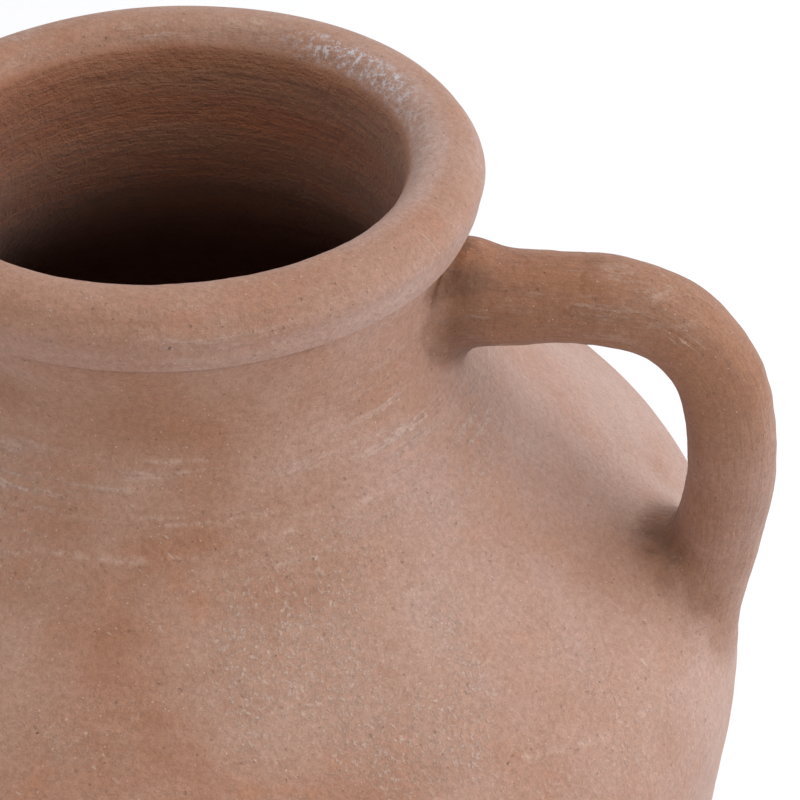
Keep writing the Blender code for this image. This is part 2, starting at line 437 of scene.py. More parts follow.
def scratch(points, ends, width):
    """A line through (angle, height) places, 1 on it and fading over width millimetres."""
    ends = np.array(ends, float)
    reach = np.hypot(points[:, 0], points[:, 1]) / MM
    round_to = np.radians(angle_gap(points, ends[0, 0])) * reach
    flat = np.column_stack([round_to, points[:, 2] / MM])
    least = np.full(len(points), 1e9)
    for start, end in zip(ends[:-1], ends[1:]):
        turn_to = np.radians(np.array([start[0], end[0]]) - ends[0, 0]) * reach[:, None]
        rise = np.full(len(points), end[1] - start[1])
        first = np.column_stack([turn_to[:, 0], np.full(len(points), start[1])])
        edge = np.column_stack([turn_to[:, 1] - turn_to[:, 0], rise])
        gap = flat - first
        share = np.clip((gap * edge).sum(axis=1) / np.maximum((edge**2).sum(axis=1), 1e-9), 0, 1)
        least = np.minimum(least, np.linalg.norm(gap - share[:, None] * edge, axis=1))
    return np.exp(-((least / width) ** 2))


# Patches: angle, height, width in degrees, height in millimetres, strength.
CHALK_PATCHES = (
    (-87, 429, 15, 4, 0.16), (-72, 427, 9, 2.5, 0.18), (-103, 420, 12, 6, 0.14),
    (-88, 421, 9, 2.2, 0.18), (-84, 414, 13, 3, 0.12), (-52, 424, 8, 2.5, 0.14),
    (-26, 418, 4.0, 6, 0.22), (-8, 402, 10, 12, 0.10), (-48, 404, 9, 3, 0.20),
    (-38, 368, 3.2, 14, 0.24), (-43, 352, 4, 8, 0.16), (-67, 376, 2.6, 18, 0.15),
    (-56, 386, 6, 9, 0.16), (-53, 370, 3.2, 12, 0.20), (-46, 358, 4.5, 8, 0.20),
    (-88, 364, 9, 8, 0.12), (-76, 350, 8, 5, 0.12), (-24, 350, 3.0, 16, 0.16),
    (-24, 328, 11, 5, 0.16), (20, 360, 12, 14, 0.06), (100, 330, 18, 22, 0.14),
    (150, 390, 14, 10, 0.12), (60, 290, 13, 20, 0.12), (-120, 300, 13, 26, 0.13),
    (-60, 250, 14, 18, 0.11), (0, 220, 16, 22, 0.12), (170, 230, 22, 18, 0.11),
    (-100, 120, 16, 26, 0.13), (40, 90, 18, 20, 0.13), (130, 160, 14, 26, 0.11),
    (-150, 60, 16, 16, 0.13),
)
RAW_PATCHES = (
    (-75, 440, 22, 12, 0.8), (-110, 446, 12, 6, 0.6), (-30, 438, 9, 9, 0.5),
    (-57, 394, 13, 9, 0.8), (-10, 362, 9, 10, 0.8), (-70, 408, 14, 6, 0.45),
    (0, 428, 14, 8, 0.6), (-95, 395, 12, 8, 0.3), (180, 430, 40, 14, 0.7),
    (90, 440, 30, 10, 0.7), (180, 360, 9, 10, 0.7), (-80, 60, 30, 16, 0.4),
)
# Drawn lines: places as (angle, height), then a width in millimetres.
PALE_LINES = (
    (((-28.6, 464), (-26.0, 456), (-24.4, 450), (-26.6, 443)), 0.72),
    (((-25.6, 463), (-24.6, 457)), 0.64),
    (((-99, 405), (-84, 404.6), (-72, 405.3), (-62, 407.6), (-52, 408.4), (-40, 404.4)), 0.64),
    (((-90, 431.5), (-80, 430.8), (-68, 431.0)), 0.64),
    (((-80, 413.5), (-68, 413.2), (-57, 413.6)), 0.56),
    (((-60, 400.5), (-50, 401.5), (-41, 397.5)), 0.64),
    (((-52, 405), (-44, 408.5), (-35, 409.5)), 0.72),
    (((-37, 344), (-28, 337), (-18, 331)), 0.96),
    (((110, 350), (124, 342), (139, 345)), 0.80),
    (((-140, 380), (-128, 372), (-121, 358)), 0.72),
)
# Cracks and holes where the right handle is stuck on. A hole is an angle, a height and a width.
ROOT_CRACKS = (
    (((-3.7, 355.6), (-5.0, 353.6), (-6.2, 351.9)), 0.35),
    (((-7.6, 334.6), (-5.8, 334.2), (-4.2, 333.2)), 0.40),
    (((-14.0, 456.2), (-14.6, 453.5)), 0.9),
    (((-15.9, 448.5), (-16.2, 444)), 0.4),
    (((-13.2, 433), (-13.4, 427)), 0.8),
)
ROOT_HOLES = (
    (-4.1, 356.4, 0.9), (-3.7, 355.6, 0.7), (-6.2, 351.9, 0.8),
    (-1.7, 359.2, 0.6), (-13.6, 456, 1.3),
)


def root_pits(points, side):
    """Depth of the small holes and cracks where a handle is stuck on, 0 to 1."""
    crumbs = ramp(noise(points, 0.0035, 70 + side), 0.42, 0.62)
    depth = 0.4 * crumbs * ramp(noise(points, 0.020, 71), 0.0, 0.3)
    if side == 1:
        for ends, width in ROOT_CRACKS:
            depth = np.maximum(depth, 0.6 * scratch(points, ends, width))
        for angle, height, width in ROOT_HOLES:
            depth = np.maximum(depth, scratch(points, ((angle, height), (angle, height)), width))
    off_wall = ramp(skin_distance(turned_half(points, side)), 5 * MM, 8 * MM)
    return depth * (1 - off_wall)


def wall_values(points, inside):
    """What the wall carries: chalk bloom, bare orange clay, dust with painted light on the side
    facing the key light, painted shade with some dirt in the crease under the rim, a slightly
    darker rim top, and pale lines.
    """
    bloom = sum(patch(points, *place) for place in CHALK_PATCHES)
    lines = np.max([scratch(points, ends, width) for ends, width in PALE_LINES], axis=0)
    raw = sum(patch(points, *place) for place in RAW_PATCHES)
    reach, height = np.hypot(points[:, 0], points[:, 1]), points[:, 2]
    below = ramp(height, CREASE_HEIGHT - 3.2 * MM, CREASE_HEIGHT - 0.2 * MM)
    above = ramp(-height, -CREASE_HEIGHT - 1.6 * MM, -CREASE_HEIGHT - 0.4 * MM)
    crease = below * above * ramp(reach, CREST_RADIUS, CREST_RADIUS + 3 * MM)
    # Painted light with some dust: the side turned towards the key light is painted paler and
    # cooler, standing in for its grazing sheen.
    lit_side = np.exp(-((angle_gap(points, 12) / 60) ** 4)) * ramp(height, 0.05, 0.30)
    top_face = ramp(height, CREASE + 8 * MM, RIM_TOP - 2 * MM)
    dust_and_painted_light = (0.75 + 0.5 * noise(points, 0.05, 68)) * lit_side
    dust_and_painted_light += 0.65 * ramp(height, CREASE, CREASE + 5 * MM)
    dust_and_painted_light *= 1 - 0.75 * top_face
    # Painted light: the inner lip on the key light's side is painted paler.
    inner_lip = ramp(-reach, -CREST_RADIUS - 5 * MM, -CREST_RADIUS) * top_face
    dust_and_painted_light += 0.9 * inner_lip * np.exp(-((angle_gap(points, 8) / 45) ** 4))
    raw = np.clip(raw, 0, 1)
    outside = 1 - inside
    # Painted shade with some dirt: the crease under the rim's overhang is darkened.
    crease_shade_and_dirt = np.clip(crease * (0.75 + 0.5 * noise(points, 0.020, 61)), 0, 1)
    return {
        "bloom": bloom * outside - 0.2 * inside,
        "raw": raw * outside + 0.4 * inside,
        # Painted shade and dirt mark; the rim's top face is also made a little darker.
        "painted_shade_and_grime": crease_shade_and_dirt * 0.5 + 0.10 * top_face * outside,
        "dust_and_painted_light": np.clip(dust_and_painted_light, 0, 1) * outside * (1 - 0.7 * raw),
        "lines": lines * ramp(noise(points, 0.008, 60), -0.45, 0.35) * outside,
        "flare": np.zeros(len(points)),
        "handle": np.zeros(len(points)),
    }


def root_values(points, local, bar, side):
    """What a handle's clay carries, with painted shade in the corners against the wall and in its
    holes; bar is the distance from the handle's bare surface.
    """
    to_neck = ramp(-local[:, 0], -0.130, -0.112)
    low, inner = low_share(local), inner_share(local)
    depth = wall_field(local, side) + bar - 5 * MM * (1 - low + inner)
    corner = 1 - ramp(depth, 3 * MM, 19 * MM)
    # Painted shade: the corners where the handle meets the wall are darkened, darkest on the neck
    # side of the lower root.
    shade = corner * (0.42 - low * 0.28 + 0.50 * inner)
    flare = ramp(local[:, 2], CREASE - 7 * MM, CREASE - 2 * MM)
    flare *= ramp(-local[:, 0], -0.116, -0.103)
    outer = ramp(local[:, 0], 0.14, 0.19) * (1 - ramp(local[:, 2], 0.385, 0.430))
    shade *= (1 - flare) * (1 + 0.6 * noise(points, 0.009, 66))
    bloom = 0.10 * noise(points, 0.020, 63) + 0.05 * to_neck - 0.10 * flare
    return {
        # In those corners the clay is also painted browner, with less bloom and no dust, as part of
        # the painted shade.
        "bloom": bloom - 0.06 * corner - 0.04,
        "raw": np.clip(0.4 + 0.8 * noise(points, 0.028, 64) + 0.2 * corner, 0, 1),
        # Painted shade: the small holes and cracks are darkened too.
        "painted_shade_and_grime": np.clip(shade + 0.9 * root_pits(points, side), 0, 1),
        "dust_and_painted_light": 0.5 * outer * (1 - corner),
        "flare": np.clip(flare * (0.8 + 0.9 * noise(points, 0.005, 67)), 0, 1),
        "lines": np.zeros(len(points)),
        "handle": np.ones(len(points)),
    }


def clay_marks(piece, points, inside, roots=True):
    """Store what the clay carries at each point, the wall's marks running into the handles'."""
    values = wall_values(points, inside)
    grain = np.zeros((3, len(points)))
    for side in (1, -1) if roots else ():
        local = turned_half(points, side)
        close = np.flatnonzero(near_handle(local))
        near, local = points[close], local[close]
        bar = bar_field(local, side)
        spread = (10 + 4 * low_share(local) + 8 * inner_share(local)) * MM
        share = 1 - ramp(bar + 3 * MM * noise(near, 0.008, 69), 0.5 * MM, spread)
        share *= 1 - inside[close]
        for name, root in root_values(near, local, bar, side).items():
            values[name][close] += share * (root - values[name][close])
        grain[:, close] = along_bar(local)
    for name, amount in values.items():
        mark(piece, name, amount)
    for name, amount in zip(("along", "across", "out"), grain):
        mark(piece, name, amount)
    mark(piece, "inside", inside)


# Mesh making

def skin_mesh(name, rings, joined, caps=(False, False)):
    """A mesh through rings of points, faces outward. joined closes the last ring to the first.

    A cap closes an end with a fan round the middle of its ring.
    """
    count, segments = rings.shape[:2]
    verts = rings.reshape(-1, 3)
    row = np.arange(count if joined else count - 1)[:, None] * segments
    after = (row + segments) % (count * segments)
    here = np.arange(segments)
    there = (here + 1) % segments
    quads = np.stack([row + here, after + here, after + there, row + there], axis=-1).reshape(-1, 4)
    faces = quads.tolist()
    for end, wanted in zip((0, count - 1), caps):
        if wanted:
            middle = len(verts)
            verts = np.vstack([verts, rings[end].mean(axis=0)])
            rim = end * segments
            fan = np.column_stack([np.full(segments, middle), rim + here, rim + there])
            faces += (fan if end == 0 else fan[:, ::-1]).tolist()
    mesh = bpy.data.meshes.new(name)
    mesh.from_pydata(verts.tolist(), [], faces)
    if signed_volume(verts, quads) < 0:
        mesh.flip_normals()
    mesh.shade_smooth()
    mesh.set_sharp_from_angle(angle=math.radians(55))
    piece = bpy.data.objects.new(name, mesh)
    bpy.context.scene.collection.objects.link(piece)
    return piece


def signed_volume(verts, quads):
    """Six times the volume that the quads enclose, positive if they face outward."""
    a, b, c, d = (verts[quads[:, corner]] for corner in range(4))
    return (a * np.cross(b, c) + a * np.cross(c, d)).sum()


def mark(piece, name, values):
    """Store one number for each point, for the material to read."""
    attribute = piece.data.attributes.new(name, "FLOAT", "POINT")
    padded = np.zeros(len(piece.data.vertices), np.float32)
    padded[: len(values)] = values
    attribute.data.foreach_set("value", padded)


def add_piece(piece, node, material):
    """Put a finished piece on the frame in place of its CAD node."""
    piece.data.materials.append(material)
    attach(piece, "root")
    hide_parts(node)
    return piece


# Turned pieces

RIM_SEGMENTS, UPPER_SEGMENTS, LOWER_SEGMENTS = 640, 480, 400
SEAM_STEP = 4 * MM
SEAM_OVERLAP = 0.35 * MM


def turn(runs, segments):
    """Rings of points and unit normals round Z for a chain of outline runs.

    The first and every other run after it are faces, which keep their end points. The
    runs between them only bridge the gaps.
    """
    angles = np.linspace(0, math.tau, segments, endpoint=False)
    round_about = np.stack([np.cos(angles), np.sin(angles)], axis=-1)

    def spin(flat):
        points = np.empty((len(flat), segments, 3))
        points[..., :2] = flat[:, :1, None] * round_about
        points[..., 2] = flat[:, 1:]
        return points

    outline, outward = [], []
    for index, run in enumerate(runs):
        ahead = np.gradient(run, axis=0)
        ahead /= np.linalg.norm(ahead, axis=1)[:, None]
        kept = slice(None) if index % 2 == 0 else slice(1, -1)
        outline.append(run[kept])
        outward.append(np.column_stack([-ahead[:, 1], ahead[:, 0]])[kept])
    return spin(np.vstack(outline)), spin(np.vstack(outward))


def root_lift(points, facing, travel):
    """Travel of the wall's outer points, raised into the handles' fillets where they are near."""
    for side in (1, -1):
        local = turned_half(points, side)
        close = np.flatnonzero(near_handle(local) & (skin_distance(local) > -3 * MM))
        bar = bar_field(local[close], side)
        close, bar = close[bar < ROOT_ZONE], bar[bar < ROOT_ZONE]
        normals = turned_half(facing[close], side)

        def wall_with_root(places, side=side):
            return merged(places, side, bar_down=TUCK)

        root = walk_out(local[close], normals, wall_with_root, 0.010)
        travel[close] = root * ramp(bar, -8 * MM, -2 * MM)
    return travel


def move_out(rings, normals, which, relief):
    """Move some rings along their normals by the relief at each of their points."""
    points, facing = rings[which].reshape(-1, 3), normals[which].reshape(-1, 3)
    moved = points + facing * relief(points)[:, None]
    rings[which] = moved.reshape(rings[which].shape)


def lip_relief(points):
    """The rim's face: groove, band and crisp lower edge outside, finger rings in the throat."""
    reach = np.hypot(points[:, 0], points[:, 1])
    outside = ramp(reach, THROAT_RADIUS + 3 * MM, CREST_RADIUS + 4 * MM)
    height = points[:, 2] + 0.7 * MM * noise(points, 0.04, 11)
    outer_face = ramp(reach, CREST_RADIUS + 4 * MM, CREST_RADIUS + 7 * MM)

    def ring(at, width):
        return np.exp(-(((height - at) / width) ** 2)) * outer_face

    groove = -0.55 * MM * ring(RIM_TOP - 5.6 * MM, 1.7 * MM)
    groove *= 0.8 + 0.7 * noise(points, 0.06, 12)
    band = 0.45 * MM * ring(RIM_TOP - 9.5 * MM, 2.2 * MM)
    band -= 0.25 * MM * ring(RIM_TOP - 15 * MM, 2.0 * MM)
    edge = 0.7 * MM * ring(CREASE_HEIGHT + 2.2 * MM, 1.0 * MM)
    proud = wobble(points) + groove + band + edge
    return inner_relief(points) * (1 - outside) + proud * outside


def lean(rings):
    """Tip the rim slightly, as a rim set on by hand is never quite level."""
    rings[..., 2] -= 0.008 * rings[..., 1] * ramp(rings[..., 2], NECK_HEIGHT - 0.01, CREASE)


def bridge(first, last):
    """A straight run of points from one run's end to another's start."""
    return through(np.array([first, last]), SEAM_STEP)


def make_rim():
    """The rolled collar: throat face, round lip, bulging band and the turn under it."""
    face = through(LIP_RUN, 0.65 * MM)
    face[0, 1] -= SEAM_OVERLAP
    rings, normals = turn([face, bridge(face[-1], face[0])], RIM_SEGMENTS)
    move_out(rings, normals, slice(0, len(face)), lip_relief)
    lean(rings)
    piece = skin_mesh("rolled_rim", rings, joined=True)
    points = rings.reshape(-1, 3)
    reach = np.hypot(points[:, 0], points[:, 1])
    throat = ramp(-reach, -THROAT_RADIUS - 5 * MM, -THROAT_RADIUS - 1 * MM)
    throat *= ramp(-points[:, 2], -RIM_TOP + 2.5 * MM, -RIM_TOP + 9 * MM)
    clay_marks(piece, points, throat, roots=False)
    inner_lip = ramp(-reach, -CREST_RADIUS - 1 * MM, -CREST_RADIUS + 3 * MM)
    inner_lip *= ramp(points[:, 2], RIM_TOP - 9 * MM, RIM_TOP - 4 * MM)
    far_side = np.exp(-((angle_gap(points, 42) / 36) ** 4))
    worn = np.clip(0.75 + 0.9 * noise(points, 0.020, 62), 0, 1)
    mark(piece, "lime", inner_lip * far_side * worn)
    return piece


def make_upper_body():
    """Neck and shoulder with the inside face, down to the seam."""
    outside = through(UPPER_OUTSIDE, 1.15 * MM)
    neck_rows = 66
    outside = np.vstack([outside[:neck_rows], outside[neck_rows::2]])
    outside[-1] = UPPER_OUTSIDE[-1]
    inside_run = through(UPPER_INSIDE, 4 * MM)
    seam = bridge(outside[-1], inside_run[0])
    seat = bridge(inside_run[-1], outside[0])
    rings, normals = turn([outside, seam, inside_run, seat], UPPER_SEGMENTS)
    outer = slice(0, len(outside))
    facing = normals[outer].reshape(-1, 3)
    move_out(rings, normals, outer, lambda points: root_lift(points, facing, wobble(points)))
    first = len(outside) + len(seam) - 2
    inner = slice(first, first + len(inside_run))
    move_out(rings, normals, inner, inner_relief)
    lean(rings)
    piece = skin_mesh("shoulder_and_neck", rings, joined=True)
    inside = np.zeros(rings.shape[:2])
    inside[inner] = 1
    clay_marks(piece, rings.reshape(-1, 3), inside.reshape(-1))
    return piece


def make_lower_body():
    """Belly, taper, flat base and floor."""
    inside_run = through(LOWER_INSIDE, 5 * MM)[1:]
    outside = through(LOWER_OUTSIDE, 2.2 * MM)
    inside_run[-1, 1] += SEAM_OVERLAP
    outside[0, 1] += SEAM_OVERLAP
    seam = bridge(inside_run[-1], outside[0])
    base = through(np.array([outside[-1], [0.004, 0.0]]), 6 * MM)
    rings, normals = turn([inside_run, seam, outside, base], LOWER_SEGMENTS)
    move_out(rings, normals, slice(3, len(inside_run)), inner_relief)
    first = len(inside_run) + len(seam) - 2
    move_out(rings, normals, slice(first, first + len(outside) - 3), wobble)
    rings = np.concatenate([rings, rings[-1:] * [0.1, 0.1, 1.0]])
    piece = skin_mesh("lower_body_and_floor", rings, joined=False, caps=(True, True))
    inside = np.zeros(rings.shape[:2])
    inside[: len(inside_run)] = 1
    clay_marks(piece, rings.reshape(-1, 3), inside.reshape(-1))
    return piece


# Pulled pieces

BAR_SEGMENTS, BAR_RINGS = 128, 300
LUTE_SEGMENTS, LUTE_RINGS = 288, 60
WALL_SPREAD = {False: 9 * MM, True: 15 * MM}
BAR_SPREAD = 14 * MM
LUTE_THICKNESS = 0.35 * MM
LUTE_DEPTH = 3.2 * MM


def bar_tube(segments, side):
    """The bare bar: rings of points and outward directions along the whole centreline."""
    ahead = np.gradient(LINE, axis=0)
    ahead /= np.linalg.norm(ahead, axis=1)[:, None]
    across = np.column_stack([-ahead[:, 1], np.zeros(len(LINE)), ahead[:, 0]])
    angles = np.linspace(0, math.tau, segments, endpoint=False)
    up = across[:, None] * np.cos(angles)[None, :, None]
    outward = up + np.array([0.0, 1.0, 0.0]) * np.sin(angles)[None, :, None]
    surface = LINE_3D[:, None] + outward * HANDLE_RADIUS
    proud = bar_wobble(surface.reshape(-1, 3), side).reshape(surface.shape[:2])
    return surface + outward * proud[..., None], outward


def crossings(tube, side, depth):
    """Ring numbers where each strip along the tube sinks to a depth in the wall, at both ends."""
    far = wall_field(tube.reshape(-1, 3), side).reshape(tube.shape[:2]) + depth
    middle = len(tube) // 2
    found = []
    for steps in (range(middle, 0, -1), range(middle, len(tube) - 1)):
        places = np.full(tube.shape[1], float(steps[-1]))
        open_strips = np.ones(tube.shape[1], bool)
        for index in steps:
            onward = index + steps.step
            hit = open_strips & (far[onward] <= 0)
            share = far[index, hit] / np.maximum(far[index, hit] - far[onward, hit], 1e-9)
            places[hit] = index + steps.step * share
            open_strips &= ~hit
        found.append(places)
    return found


def along_strips(rings, places):
    """Points at fractional ring numbers; places has one row for each new ring."""
    base = np.clip(np.floor(places).astype(int), 0, len(rings) - 2)
    share = (places - base)[..., None]
    strip = np.arange(rings.shape[1])[None, :]
    return rings[base, strip] * (1 - share) + rings[base + 1, strip] * share


def make_handle(word, side):
    """One pulled handle, its ends spreading into the neck and the shoulder."""
    tube, outward = bar_tube(BAR_SEGMENTS, side)
    first, last = crossings(tube, side, 5 * MM)
    shares = np.linspace(0, 1, BAR_RINGS)[:, None]
    places = first * (1 - shares) + last * shares
    rings = along_strips(tube, places)
    facing = along_strips(outward, places)
    points, normals = rings.reshape(-1, 3), facing.reshape(-1, 3)
    wall = wall_field(points, side)
    close = np.flatnonzero(wall < ROOT_ZONE)
    travel = np.zeros(len(points))

    def bar_with_root(places):
        return merged(places, side, wall_down=TUCK)

    travel[close] = walk_out(points[close], normals[close], bar_with_root, 0.012, rounds=9)
    travel *= ramp(wall, -4 * MM, 1 * MM)
    points = turned_half(points + normals * travel[:, None], side)
    rings = points.reshape(rings.shape)
    piece = skin_mesh(f"pulled_handle_{word}", rings, joined=False, caps=(True, True))
    clay_marks(piece, points, np.zeros(len(points)))
    return piece


def lute_sheet(side, lower):
    """Points of a wad's middle layer, from the wall to the bar, and how thin the wad is there."""
    tube, _ = bar_tube(LUTE_SEGMENTS, side)
    joint = crossings(tube, side, 0.0)[lower]
    foot = along_strips(tube, joint[None])[0]
    seed = 50 + 3 * lower + side
    world = turned_half(foot, side)
    uneven = 0.35 * noise(world, 0.014, seed) + 0.2 * noise(world, 0.005, seed + 1)
    up_bar = BAR_SPREAD * (1 + uneven)
    uneven = 0.5 * noise(world, 0.018, seed + 20) + 0.25 * noise(world, 0.006, seed + 21)
    on_wall = WALL_SPREAD[lower] * (1 + uneven)
    across = foot - foot.mean(axis=0)
    down = ramp(across[:, 0], 2 * MM, 12 * MM) if lower else ramp(-across[:, 2], 2 * MM, 11 * MM)
    on_wall *= 1 - 0.65 * down
    step = np.linalg.norm(LINE[1] - LINE[0])
    away = -1 if lower else 1
    top = along_strips(tube, (joint + away * up_bar / step)[None])[0]
    wall_normal = gradient(foot, lambda at: wall_field(at, side))
    across -= wall_normal * (across * wall_normal).sum(axis=1)[:, None]
    across /= np.linalg.norm(across, axis=1)[:, None]
    bottom = foot + across * on_wall[:, None]
    share = np.linspace(0, 1, LUTE_RINGS)[:, None, None]
    sheet = bottom * (1 - share) ** 2 + foot * 2 * share * (1 - share) + top * share**2
    return sheet, down


def make_lute(word, side, lower):
    """A wad of clay smeared round one end of a handle, feathered onto the wall and up the bar."""
    sheet, down = lute_sheet(side, lower)
    shape = sheet.shape
    flat = settle(sheet.reshape(-1, 3), lambda at: merged(at, side))
    facing = gradient(flat, lambda at: merged(at, side))
    share = np.repeat(np.linspace(0, 1, LUTE_RINGS), LUTE_SEGMENTS)
    body = ramp(share, 0.0, 0.30) * (1 - ramp(share, 0.35, 1.0))
    body *= np.tile(1 - 0.9 * down, LUTE_RINGS)
    world = turned_half(flat, side)
    seed = 90 + 3 * lower + side
    lumps = 1 + 0.8 * noise(world, 0.012, seed) + 0.45 * noise(world, 0.005, seed + 1)
    proud = (LUTE_THICKNESS + TUCK) * body * lumps - TUCK
    proud -= 0.9 * MM * root_pits(world, side)
    outer = (flat + facing * proud[:, None]).reshape(shape)
    inner = (flat - facing * LUTE_DEPTH).reshape(shape)[::-1][5:-5:5]
    rings = turned_half(np.concatenate([outer, inner]), side)
    piece = skin_mesh(f"luting_clay_{'lower' if lower else 'upper'}_{word}", rings, joined=True)
    points = rings.reshape(-1, 3)
    clay_marks(piece, points, np.zeros(len(points)))
    return piece


# Materials

class Graph:
    """A material's node graph, with short ways to add the nodes that the clay needs."""

    def __init__(self, name):
        self.material = bpy.data.materials.new(name)
        self.material.use_nodes = True
        self.tree = self.material.node_tree
        self.shader = self.tree.nodes["Principled BSDF"]
        self.place = self.node("ShaderNodeTexCoord").outputs["Object"]

    def node(self, kind, inputs=None, **settings):
        made = self.tree.nodes.new(kind)
        for name, value in settings.items():
            setattr(made, name, value)
        for name, value in (inputs or {}).items():
            self.put(made.inputs[name], value)
        return made

    def put(self, socket, value):
        if isinstance(value, bpy.types.NodeSocket):
            self.tree.links.new(value, socket)
        else:
            socket.default_value = value

    def stretch(self, scales, place=None):
        inputs = {0: place or self.place, 1: scales}
        return self.node("ShaderNodeVectorMath", inputs, operation="MULTIPLY").outputs[0]

    def noise(self, scale, detail=3.0, rough=0.5, place=None):
        inputs = {"Vector": place or self.place, "Scale": scale, "Detail": detail}
        inputs["Roughness"] = rough
        return self.node("ShaderNodeTexNoise", inputs).outputs["Fac"]

    def band(self, value, low, high, to_low=0.0, to_high=1.0):
        """Smooth step from to_low to to_high while the value goes from low to high."""
        inputs = {"Value": value, "From Min": low, "From Max": high, "To Min": to_low}
        inputs["To Max"] = to_high
        made = self.node("ShaderNodeMapRange", inputs, interpolation_type="SMOOTHSTEP")
        return made.outputs["Result"]

    def math(self, operation, first, second=0.0):
        return self.node("ShaderNodeMath", {0: first, 1: second}, operation=operation).outputs[0]

    def times(self, first, second):
        return self.math("MULTIPLY", first, second)

    def plus(self, first, second):
        return self.math("ADD", first, second)

    def mix(self, share, first, second, blend="MIX"):
        made = self.node("ShaderNodeMix", data_type="RGBA", blend_type=blend)
        self.put(made.inputs[0], share)
        for socket, value in zip((made.inputs[6], made.inputs[7]), (first, second)):
            self.put(socket, value if isinstance(value, bpy.types.NodeSocket) else (*value, 1.0))
        return made.outputs[2]

    def mark(self, name):
        return self.node("ShaderNodeAttribute", attribute_name=name).outputs["Fac"]

    def specks(self, scale, size, share):
        """Scattered ragged dots: 1 inside a dot. share is the part of the cells that has one."""
        inputs = {"Vector": self.place, "Scale": scale * 2.1, "Detail": 2.0}
        ragged = self.node("ShaderNodeTexNoise", inputs).outputs["Color"]
        inputs = {0: ragged, "Scale": 0.5 / scale}
        shaken = self.node("ShaderNodeVectorMath", inputs, operation="SCALE").outputs[0]
        inputs = {0: self.place, 1: shaken}
        place = self.node("ShaderNodeVectorMath", inputs, operation="ADD").outputs[0]
        cells = self.node("ShaderNodeTexVoronoi", {"Vector": place, "Scale": scale})
        dot = self.band(cells.outputs["Distance"], size, size * 0.5)
        chosen = self.node("ShaderNodeSeparateColor", {"Color": cells.outputs["Color"]}).outputs[0]
        return self.times(dot, self.math("GREATER_THAN", chosen, 1 - share))


BROWN_CLAY = (0.310, 0.135, 0.068)
DARK_CLAY = (0.215, 0.098, 0.055)
WARM_CLAY = (0.375, 0.182, 0.112)
ORANGE_CLAY = (0.430, 0.178, 0.084)
PINK_CLAY = (0.425, 0.262, 0.198)
DUST_AND_LIGHT_TINT = (0.450, 0.300, 0.255)
CHALK = (0.620, 0.500, 0.430)
LIME = (0.600, 0.590, 0.630)
# Painted shade: a darker, browner clay for the inside, standing in for the shade in the mouth.
SHADED_INSIDE_CLAY = (0.305, 0.100, 0.040)
# Dark specks' colour, also used for painted shade.
DARK_SPECK_AND_SHADE = (0.050, 0.026, 0.015)


def mottled(g, brown):
    """The clay's own tone, browner on the handles and orange in the flares under the rim."""
    streaky = g.stretch((0.10, 0.10, 1.0))
    upright = g.stretch((1.0, 1.0, 0.10))
    tone = g.mix(g.band(g.noise(8.0, 4.0, 0.55), 0.38, 0.68), WARM_CLAY, PINK_CLAY)
    tone = g.mix(g.band(g.noise(19.0, 5.0, 0.6), 0.40, 0.72, 0.0, 0.85), tone, BROWN_CLAY)
    tone = g.mix(g.band(g.noise(60.0, 5.0, 0.65), 0.50, 0.78, 0.0, 0.5), tone, ORANGE_CLAY)
    tone = g.mix(g.band(g.noise(95.0, 6.0, 0.65, streaky), 0.45, 0.8, 0.0, 0.4), tone, PINK_CLAY)
    bare = g.times(g.mark("raw"), g.band(g.noise(30.0, 4.0, 0.6), 0.25, 0.65, 0.45, 0.95))
    tone = g.mix(bare, tone, BROWN_CLAY)
    tone = g.mix(g.band(g.mark("handle"), 0.0, 1.0, brown, 0.72), tone, BROWN_CLAY)
    drag = g.times(g.mark("handle"), g.band(g.noise(130.0, 5.0, 0.65, pulled(g)), 0.42, 0.68))
    tone = g.mix(g.times(drag, 0.50), tone, DARK_CLAY)
    fanned = g.band(g.noise(170.0, 4.0, 0.6, upright), 0.35, 0.7)
    return g.mix(g.times(g.mark("flare"), fanned), tone, ORANGE_CLAY)


def pulled(g):
    """Coordinates that follow a handle, squeezed along it, for lengthwise streaks."""
    along = g.times(g.mark("along"), 0.09)
    inputs = {0: along, 1: g.mark("across"), 2: g.mark("out")}
    return g.node("ShaderNodeCombineXYZ", inputs).outputs[0]


def chalk_share(g, bloom):
    """Where chalk bloom lies, in strokes: upright on the shoulder, round the pot on the neck.

    The second value is the smoother share of the patches that the strokes are in.
    """
    patches = g.plus(g.plus(g.noise(14.0, 4.0, 0.55), bloom), g.mark("bloom"))
    patches = g.math("SUBTRACT", patches, g.times(g.mark("raw"), 0.08))
    height = g.node("ShaderNodeSeparateXYZ", {0: g.place}).outputs[2]
    upright = g.noise(760.0, 4.0, 0.65, g.stretch((1.0, 1.0, 0.10)))
    level = g.noise(420.0, 4.0, 0.6, g.stretch((0.10, 0.10, 1.0)))
    strokes = g.mix(g.band(height, 0.392, 0.418), upright, level)
    broken = g.plus(g.times(g.noise(600.0, 5.0, 0.75), 0.6), strokes)
    chalk = g.times(g.band(patches, 0.45, 0.72), g.band(broken, 0.79, 0.96))
    return chalk, g.band(patches, 0.52, 0.87, 0.0, 0.25)


